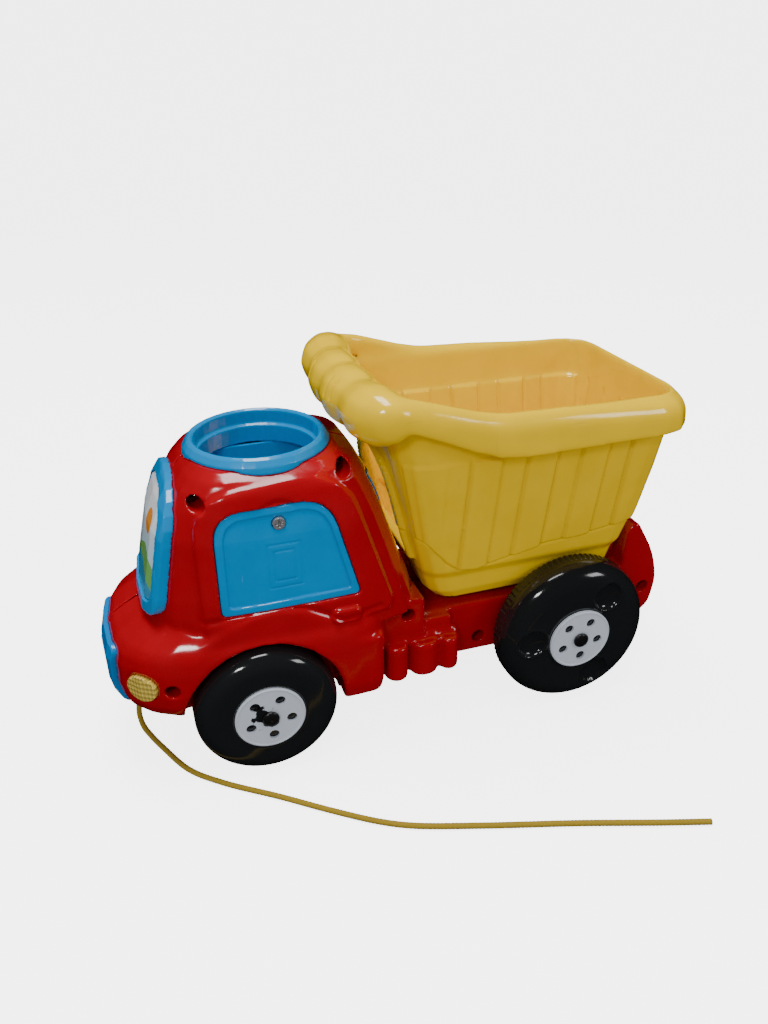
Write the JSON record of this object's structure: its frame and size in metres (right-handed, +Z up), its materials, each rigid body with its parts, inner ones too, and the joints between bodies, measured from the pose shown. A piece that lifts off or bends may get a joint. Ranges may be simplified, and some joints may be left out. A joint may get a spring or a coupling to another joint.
{
  "type": "toy tip-up truck",
  "caption": "Pull-along toy truck with a ball funnel in the cab roof, a tipping bed, rolling wheels, a battery-powered sound unit and a braided pull cord.",
  "frame": {"origin": "on the ground, midway along the truck's length and on its middle plane", "axes": "+X towards the nose, +Y to the truck's left, +Z up"},
  "size_m": [0.3545, 0.2502, 0.2268],
  "materials": {
    "red_shell": "gloss moulded, deep red",
    "blue_plastic": "gloss moulded, mid blue",
    "light_blue": "gloss moulded, light blue",
    "yellow_plastic": "gloss moulded, warm yellow",
    "amber_lens": "moulded waffle lens, opaque amber yellow",
    "black_tyre": "gloss moulded, black",
    "black_plastic": "satin black",
    "hub_white": "pale grey white disc, satin",
    "screen_print": null,
    "steel": "zinc plated",
    "board": "solder mask green",
    "speaker_grey": "pressed frame",
    "cell_wrap": "plain wrapped cell",
    "cord": "braided golden yellow cord"
  },
  "bodies": {
    "truck_body": {"body_shell_left": "red_shell", "body_shell_right": "red_shell", "funnel": "blue_plastic", "ball_chute": "blue_plastic", "windscreen_frame": "blue_plastic", "battery_cover": "blue_plastic", "side_window_right": "blue_plastic", "front_grille": "light_blue", "headlight_left": "amber_lens", "headlight_right": "amber_lens", "battery_box": "black_plastic", "battery_upper": "cell_wrap", "battery_lower": "cell_wrap", "circuit_board": "board", "speaker": "speaker_grey", "pull_cord": "cord", "cord_knot": "cord", "battery_cover_screw": "steel", "battery_spring_contact": "steel", "battery_button_contact": "steel", "hinge_pin": "steel", "body_screw_cab_front": "steel", "body_screw_cab_rear": "steel", "body_screw_headlight": "steel", "body_screw_step": "steel", "body_screw_rail": "steel", "body_screw_tail": "steel"},
    "front_wheels": {"front_wheel_left": "black_tyre", "front_wheel_right": "black_tyre", "front_hub_disc_left": "hub_white", "front_hub_disc_right": "hub_white", "front_axle_cap_left": "black_plastic", "front_axle_cap_right": "black_plastic", "front_axle": "steel"},
    "rear_wheels": {"rear_wheel_left": "black_tyre", "rear_wheel_right": "black_tyre", "rear_hub_disc_left": "hub_white", "rear_hub_disc_right": "hub_white", "rear_axle_cap_left": "black_plastic", "rear_axle_cap_right": "black_plastic", "rear_axle": "steel"},
    "bed": {"tipping_bed": "yellow_plastic"},
    "screen_button": {"windscreen_button": "screen_print"},
    "switch": {"power_switch": "black_plastic"}
  },
  "joints": [
    {"name": "front_wheel_roll", "type": "hinge", "parent": "truck_body", "child": "front_wheels", "pos_m": [0.0906, 0, 0.0418], "axis": [0, 1, 0], "continuous": true},
    {"name": "rear_wheel_roll", "type": "hinge", "parent": "truck_body", "child": "rear_wheels", "pos_m": [-0.107, 0, 0.0496], "axis": [0, 1, 0], "continuous": true},
    {"name": "bed_tip", "type": "hinge", "parent": "truck_body", "child": "bed", "pos_m": [-0.1594, 0, 0.098], "axis": [0, -1, 0], "range_deg": [0, 45]},
    {"name": "screen_press", "type": "slide", "parent": "truck_body", "child": "screen_button", "axis": [-1, 0, 0], "range_m": [0, 0.002], "stiffness_N_per_m": 400},
    {"name": "switch_slide", "type": "slide", "parent": "truck_body", "child": "switch", "axis": [0, 1, 0], "range_m": [0, 0.008]}
  ]
}
